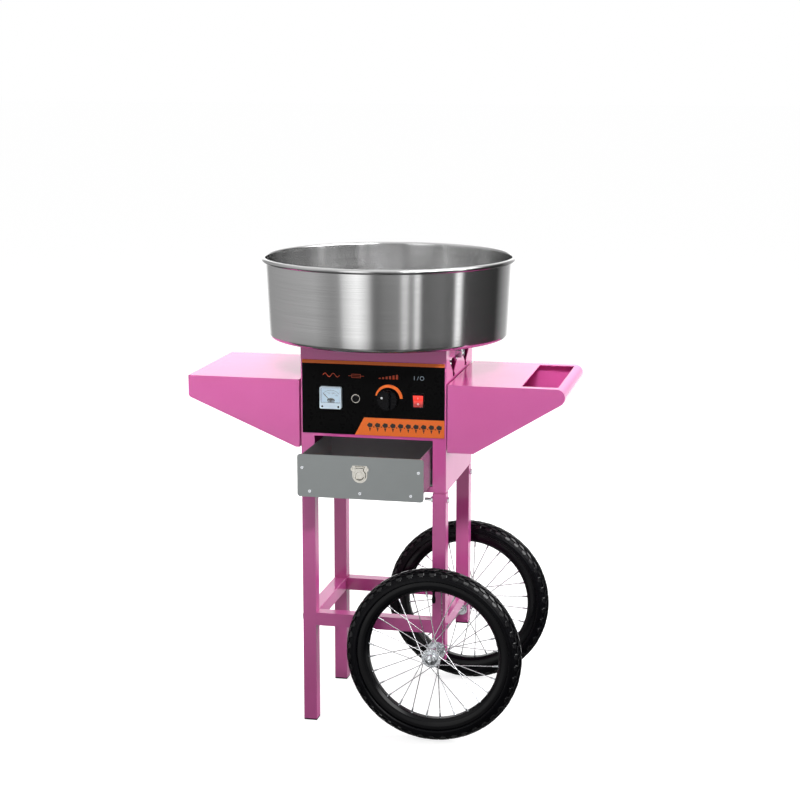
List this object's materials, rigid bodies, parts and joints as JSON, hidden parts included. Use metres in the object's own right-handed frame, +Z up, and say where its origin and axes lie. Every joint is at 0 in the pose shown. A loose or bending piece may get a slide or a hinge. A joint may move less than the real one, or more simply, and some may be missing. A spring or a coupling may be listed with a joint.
{
  "type": "cotton candy machine",
  "caption": "Floss machine with a steel bowl over a spinning head, on a pink cart with a drawer, two side shelves and two spoked wheels.",
  "frame": {"origin": "on the floor under the bowl's axis, which is also the middle of the overall box", "axes": "+Z up, -Y towards the operator at the control panel, +X towards the wheels and the push handle"},
  "size_m": [0.766, 0.52, 0.953],
  "materials": {
    "pink_paint": "gloss powder coat",
    "galvanised": "galvanised",
    "bright_zinc": "bright zinc plate",
    "spoke_steel": "polished",
    "nickel": "worn nickel plate",
    "drawer_face": "satin grey",
    "bowl_steel": "brushed",
    "machined_steel": "turned",
    "panel_black": "satin print",
    "orange_print": "satin print",
    "black_plastic": "moulded",
    "meter_plastic": "moulded",
    "dial_card": "printed card",
    "clear_plastic": "clear",
    "needle_paint": "matt",
    "fuse_glass": "fired",
    "regulator_plastic": "moulded",
    "drawer_steel": "satin, brushed front to back",
    "red_rocker": "translucent",
    "rim_paint": "satin black",
    "tyre_rubber": "knobbly tread",
    "belt_rubber": "matt",
    "motor_paint": "hammered",
    "copper": "bright",
    "phenolic": "pressed board"
  },
  "bodies": {
    "cart": {"housing_shell": "pink_paint", "top_deck": "pink_paint", "divider_shelf": "galvanised", "bottom_plate": "pink_paint", "back_cover": "pink_paint", "cover_screws": "bright_zinc", "vent_baffles": "pink_paint", "control_panel": "panel_black", "panel_trim": "orange_print", "meter_case": "meter_plastic", "meter_dial": "dial_card", "meter_glass": "clear_plastic", "fuse_holder": "black_plastic", "regulator": "regulator_plastic", "switch_housing": "black_plastic", "latch_brackets": "bright_zinc", "drawer_runners": "galvanised", "shelf_left": "pink_paint", "shelf_right": "pink_paint", "frame_bolts": "bright_zinc", "legs_left": "pink_paint", "legs_right": "pink_paint", "leg_caps": "black_plastic", "cross_stretchers": "pink_paint", "side_stretchers": "pink_paint", "axles": "bright_zinc", "motor": "motor_paint", "drive_belt": "belt_rubber", "spindle_bearings": "machined_steel", "brush_holder": "phenolic", "bowl_gasket": "belt_rubber", "power_inlet": "black_plastic"},
    "meter_needle": {"meter_needle": "needle_paint"},
    "fuse_carrier": {"fuse_link": "fuse_glass"},
    "fuse_cap": {"fuse_cap": "black_plastic"},
    "knob": {"knob": "black_plastic"},
    "switch_rocker": {"switch_rocker": "red_rocker"},
    "latch_left": {"latch_left": "bright_zinc"},
    "latch_right": {"latch_right": "bright_zinc"},
    "drawer": {"drawer_box": "drawer_steel", "drawer_front": "drawer_face", "drawer_rivets": "bright_zinc", "pull_plate": "nickel"},
    "pull_flap": {"pull_flap": "nickel"},
    "wheel_front": {"hub_front": "bright_zinc", "spokes_front": "spoke_steel", "rim_front": "rim_paint", "tyre_front": "tyre_rubber"},
    "wheel_rear": {"hub_rear": "bright_zinc", "spokes_rear": "spoke_steel", "rim_rear": "rim_paint", "tyre_rear": "tyre_rubber"},
    "motor_pulley": {"motor_pulley": "machined_steel"},
    "spinner": {"spindle": "machined_steel", "spindle_pulley": "machined_steel", "slip_rings": "copper", "spinner_base": "machined_steel", "heater_coil": "copper", "spinner_head": "machined_steel"},
    "bowl": {"bowl": "bowl_steel"}
  },
  "joints": [
    {"name": "drawer_slide", "type": "slide", "parent": "cart", "child": "drawer", "axis": [0, -1, 0], "range_m": [-0.109, 0.09]},
    {"name": "pull_flap_hinge", "type": "hinge", "parent": "drawer", "child": "pull_flap", "pos_m": [0, -0.258, 0.568], "axis": [-1, 0, 0], "range_deg": [0, 85]},
    {"name": "knob_turn", "type": "hinge", "parent": "cart", "child": "knob", "pos_m": [0.031, -0.15, 0.682], "axis": [0, 1, 0], "range_deg": [0, 270]},
    {"name": "rocker_tilt", "type": "hinge", "parent": "cart", "child": "switch_rocker", "pos_m": [0.092, -0.1415, 0.682], "axis": [1, 0, 0], "range_deg": [-16, 0]},
    {"name": "needle_sweep", "type": "hinge", "parent": "cart", "child": "meter_needle", "pos_m": [-0.085, -0.147, 0.675], "axis": [0, 1, 0], "range_deg": [0, 90], "stiffness_Nm_per_rad": 0.0002},
    {"name": "fuse_pull", "type": "slide", "parent": "cart", "child": "fuse_carrier", "axis": [0, -1, 0], "range_m": [0, 0.045]},
    {"name": "fuse_cap_turn", "type": "hinge", "parent": "fuse_carrier", "child": "fuse_cap", "pos_m": [-0.034, -0.15, 0.682], "axis": [0, 1, 0], "range_deg": [0, 60]},
    {"name": "latch_right_swing", "type": "hinge", "parent": "cart", "child": "latch_right", "pos_m": [0.157, -0.034, 0.762], "axis": [0, 1, 0], "range_deg": [0, 80]},
    {"name": "latch_left_swing", "type": "hinge", "parent": "cart", "child": "latch_left", "pos_m": [-0.157, -0.034, 0.762], "axis": [0, -1, 0], "range_deg": [0, 80]},
    {"name": "bowl_lift", "type": "slide", "parent": "cart", "child": "bowl", "axis": [0, 0, 1], "range_m": [0, 0.25]},
    {"name": "spinner_spin", "type": "hinge", "parent": "cart", "child": "spinner", "pos_m": [0, 0, 0.7], "axis": [0, 0, 1], "continuous": true},
    {"name": "motor_spin", "type": "hinge", "parent": "cart", "child": "motor_pulley", "pos_m": [0, 0.088, 0.7], "axis": [0, 0, 1], "continuous": true},
    {"name": "wheel_front_spin", "type": "hinge", "parent": "cart", "child": "wheel_front", "pos_m": [0.1345, -0.193, 0.178], "axis": [0, 1, 0], "continuous": true},
    {"name": "wheel_rear_spin", "type": "hinge", "parent": "cart", "child": "wheel_rear", "pos_m": [0.1345, 0.193, 0.178], "axis": [0, 1, 0], "continuous": true}
  ],
  "couplings": [
    {"joint": "motor_spin", "follows": "spinner_spin", "ratio": 1.5556}
  ]
}
